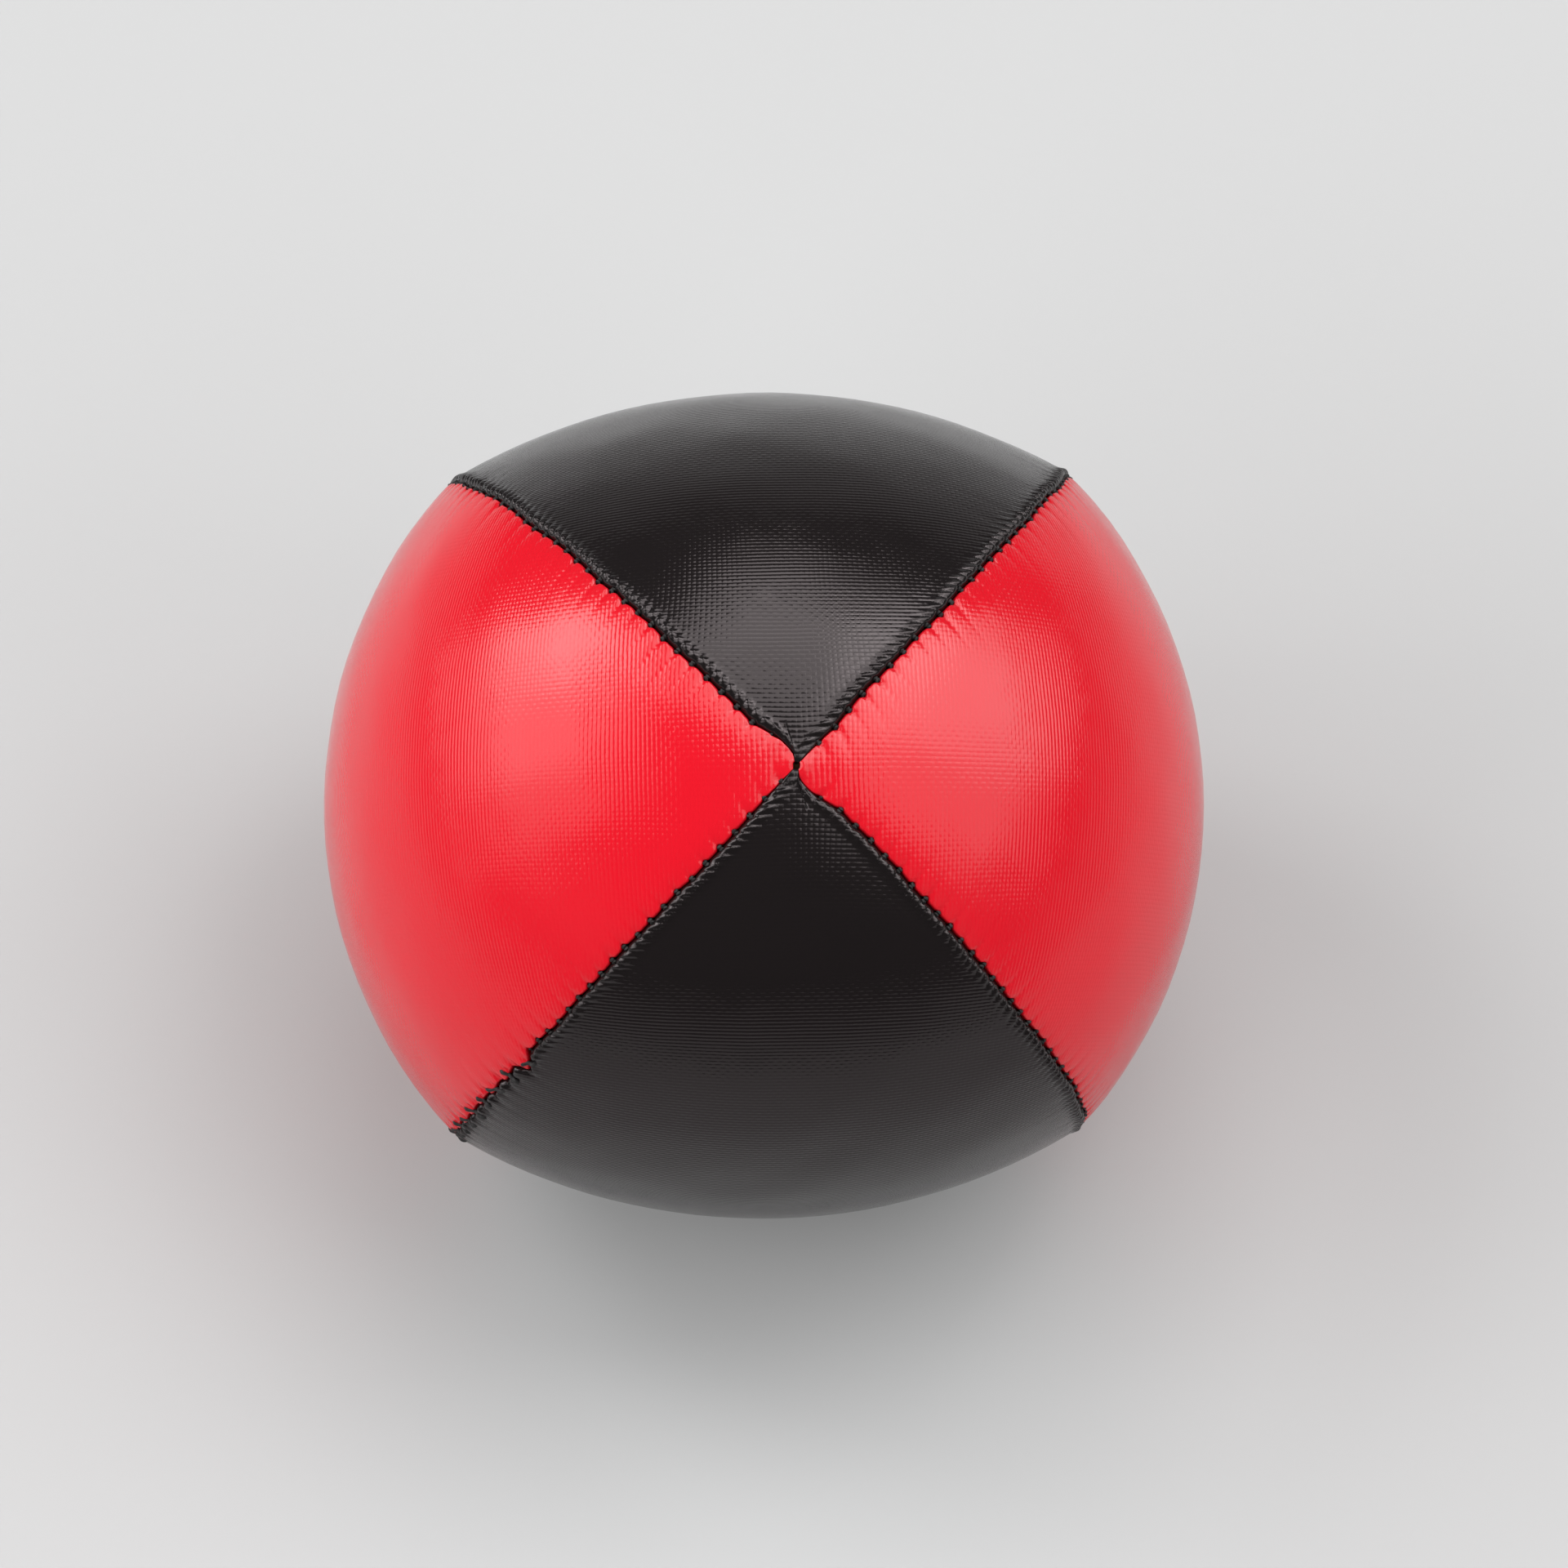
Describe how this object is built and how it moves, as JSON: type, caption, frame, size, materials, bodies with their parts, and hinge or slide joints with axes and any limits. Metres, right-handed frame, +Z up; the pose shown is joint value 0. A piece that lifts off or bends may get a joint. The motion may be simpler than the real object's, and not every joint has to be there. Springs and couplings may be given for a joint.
{
  "type": "juggling ball",
  "caption": "Soft beanbag juggling ball, sewn from lens-shaped panels of coated fabric in two alternating colours and filled with grain, lying slightly settled.",
  "frame": {"origin": "on the surface the ball rests on, under the middle of the ball", "axes": "+Z up; the end where the four seams meet points up and towards -Y; +X is to the right, towards one red panel"},
  "size_m": [0.065, 0.0656, 0.0579],
  "materials": {
    "red_fabric": "gloss",
    "black_fabric": "gloss",
    "black_thread": "matte",
    "millet": "satin"
  },
  "bodies": {
    "root": {"red_panel_left": "red_fabric", "red_panel_right": "red_fabric", "black_panel_top": "black_fabric", "black_panel_bottom": "black_fabric", "first_half_needle_thread": "black_thread", "first_half_bobbin_thread": "black_thread", "second_half_needle_thread": "black_thread", "second_half_bobbin_thread": "black_thread", "joining_needle_thread": "black_thread", "joining_bobbin_thread": "black_thread", "closing_thread": "black_thread", "millet_fill": "millet"}
  },
  "joints": []
}
